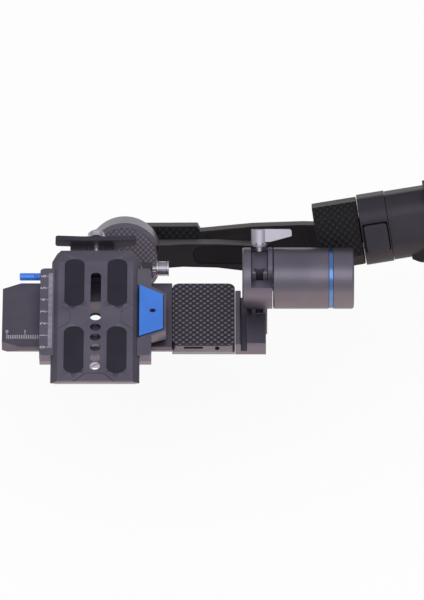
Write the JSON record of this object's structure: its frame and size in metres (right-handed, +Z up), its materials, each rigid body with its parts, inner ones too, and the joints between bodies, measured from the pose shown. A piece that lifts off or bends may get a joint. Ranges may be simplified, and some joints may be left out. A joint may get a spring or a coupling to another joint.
{
  "type": "camera gimbal",
  "caption": "Handheld three-axis camera stabiliser: sliding quick-release camera plate on motorised tilt, roll and pan arms, carried by a slim battery handle.",
  "frame": {"origin": "axis of the quarter-inch camera hole, at the camera plate's top face", "axes": "+Z up out of the camera plate, +X from the platform towards the tilt motor and handle, +Y along the plate towards its backstop"},
  "size_m": [0.365, 0.1811, 0.1171],
  "materials": {
    "anodised_aluminium": "bead-blasted dark grey anodised aluminium",
    "carbon_weave_cover": "moulded cover with a carbon-weave relief",
    "blue_anodised": "blue anodised aluminium",
    "blue_light_ring": "blue translucent light ring",
    "satin_aluminium": "satin silver aluminium",
    "steel_fasteners": "plated steel",
    "pad_rubber": "ribbed grip rubber",
    "grip_rubber": "textured black rubber",
    "black_plastic": "matt moulded plastic",
    "motor_steel": "plated motor steel",
    "motor_copper": "wound stator",
    "bearing_steel": "ground bearing steel",
    "board": "green circuit board",
    "socket_steel": "stamped socket shells",
    "brass": "turned brass insert",
    "cell_wrap": "shrink-wrapped cells"
  },
  "bodies": {
    "handle": {"handle_collar": "anodised_aluminium", "handle_front_shell": "black_plastic", "handle_back_shell": "black_plastic", "rubber_grip": "grip_rubber", "handle_end_cap": "black_plastic", "tripod_thread_insert": "brass", "battery_cells": "cell_wrap", "control_panel": "black_plastic", "control_pins": "steel_fasteners", "pan_stator": "motor_copper", "pan_bearings": "bearing_steel"},
    "pan_assembly": {"pan_motor_cover": "carbon_weave_cover", "pan_motor_housing": "anodised_aluminium", "pan_rotor": "motor_steel", "pan_arm": "anodised_aluminium", "pan_arm_cover": "carbon_weave_cover", "roll_motor_base": "anodised_aluminium", "roll_stator": "motor_copper", "roll_bearings": "bearing_steel"},
    "roll_assembly": {"roll_motor_case": "anodised_aluminium", "roll_motor_cover": "carbon_weave_cover", "roll_rotor": "motor_steel", "roll_arm": "anodised_aluminium", "roll_arm_inlay": "black_plastic", "tilt_motor_case": "anodised_aluminium", "tilt_light_ring": "blue_light_ring", "tilt_end_cap": "anodised_aluminium", "tilt_stator": "motor_copper", "tilt_bearings": "bearing_steel"},
    "tilt_bracket": {"tilt_bracket": "anodised_aluminium", "tilt_rotor": "motor_steel"},
    "lock_lever": {"height_lock_lever": "satin_aluminium"},
    "platform": {"height_post": "anodised_aluminium", "post_foot": "anodised_aluminium", "post_screws": "steel_fasteners", "pod_tray": "anodised_aluminium", "pod_lid": "carbon_weave_cover", "pod_board": "board", "pod_sockets": "socket_steel", "cross_bar": "anodised_aluminium"},
    "carriage": {"clamp_base": "anodised_aluminium", "left_jaw": "anodised_aluminium", "right_jaw": "anodised_aluminium", "jaw_screws": "steel_fasteners", "clamp_knob_block": "black_plastic"},
    "release_button": {"plate_release_button": "blue_anodised", "button_screw": "steel_fasteners"},
    "clamp_knob": {"clamp_knob": "satin_aluminium"},
    "bar_pin": {"bar_lock_pin": "blue_anodised"},
    "plate": {"camera_plate": "anodised_aluminium", "rubber_pads": "pad_rubber"},
    "camera_screw": {"camera_screw": "satin_aluminium"},
    "backstop": {"backstop_bar": "anodised_aluminium"},
    "thumb_screw": {"backstop_thumb_screw": "satin_aluminium"},
    "arm_release": {"arm_release_button": "black_plastic"},
    "record_key": {"record_button": "black_plastic"},
    "mode_key": {"mode_button": "black_plastic"},
    "joystick": {"joystick": "black_plastic"},
    "trigger": {"trigger": "black_plastic"},
    "dial": {"focus_dial": "black_plastic"}
  },
  "joints": [
    {"name": "pan_turn", "type": "hinge", "parent": "handle", "child": "pan_assembly", "pos_m": [0.0155, 0.05293, -0.01048], "axis": [0.9869, 0.0856, 0.137], "range_deg": [-170, 170]},
    {"name": "roll_turn", "type": "hinge", "parent": "pan_assembly", "child": "roll_assembly", "pos_m": [0.0155, 0.0224, 0.0086], "axis": [0, 0.848, -0.5299], "range_deg": [-160, 160]},
    {"name": "tilt_turn", "type": "hinge", "parent": "roll_assembly", "child": "tilt_bracket", "pos_m": [0.0155, 0.0224, 0.0086], "axis": [1, 0, 0], "range_deg": [-90, 90]},
    {"name": "lever_turn", "type": "hinge", "parent": "tilt_bracket", "child": "lock_lever", "pos_m": [0.091, 0.0224, 0.0086], "axis": [0, 0.6561, 0.7547], "range_deg": [0, 90]},
    {"name": "height_slide", "type": "slide", "parent": "tilt_bracket", "child": "platform", "axis": [0, 0, 1], "range_m": [-0.014, 0]},
    {"name": "cross_slide", "type": "slide", "parent": "platform", "child": "carriage", "axis": [1, 0, 0], "range_m": [-0.018, 0.0025]},
    {"name": "plate_button_press", "type": "slide", "parent": "carriage", "child": "release_button", "axis": [0, 0, 1], "range_m": [-0.0008, 0], "stiffness_N_per_m": 400},
    {"name": "clamp_knob_turn", "type": "hinge", "parent": "carriage", "child": "clamp_knob", "pos_m": [0.0336, 0.0469, -0.0056], "axis": [1, 0, 0], "continuous": true},
    {"name": "bar_pin_pull", "type": "slide", "parent": "carriage", "child": "bar_pin", "axis": [-1, 0, 0], "range_m": [0, 0.004], "stiffness_N_per_m": 400},
    {"name": "plate_slide", "type": "slide", "parent": "carriage", "child": "plate", "axis": [0, 1, 0], "range_m": [-0.015, 0]},
    {"name": "camera_screw_turn", "type": "hinge", "parent": "plate", "child": "camera_screw", "pos_m": [0, -0.0423, 0], "axis": [0, 0, 1], "continuous": true},
    {"name": "backstop_slide", "type": "slide", "parent": "plate", "child": "backstop", "axis": [0, 1, 0], "range_m": [0, 0.004]},
    {"name": "thumb_screw_turn", "type": "hinge", "parent": "backstop", "child": "thumb_screw", "pos_m": [0, 0.0632, -0.0034], "axis": [0, 1, 0], "continuous": true},
    {"name": "arm_release_press", "type": "slide", "parent": "handle", "child": "arm_release", "axis": [0, 0.848, -0.5299], "range_m": [0, 0.0015], "stiffness_N_per_m": 400},
    {"name": "record_press", "type": "slide", "parent": "handle", "child": "record_key", "axis": [0, -0.848, 0.5299], "range_m": [0, 0.0008], "stiffness_N_per_m": 400},
    {"name": "mode_press", "type": "slide", "parent": "handle", "child": "mode_key", "axis": [0, -0.848, 0.5299], "range_m": [0, 0.0008], "stiffness_N_per_m": 400},
    {"name": "joystick_tilt", "type": "hinge", "parent": "handle", "child": "joystick", "pos_m": [0.19412, 0.08285, 0.00532], "axis": [-0.1616, 0.523, 0.8369], "range_deg": [-8, 8], "stiffness_Nm_per_rad": 0.05},
    {"name": "trigger_pull", "type": "hinge", "parent": "handle", "child": "trigger", "pos_m": [0.19165, 0.0538, 0.02299], "axis": [-0.1616, 0.523, 0.8369], "range_deg": [0, 6], "stiffness_Nm_per_rad": 0.3},
    {"name": "dial_turn", "type": "hinge", "parent": "handle", "child": "dial", "pos_m": [0.23458, 0.08636, 0.01094], "axis": [-0.1616, 0.523, 0.8369], "continuous": true}
  ]
}
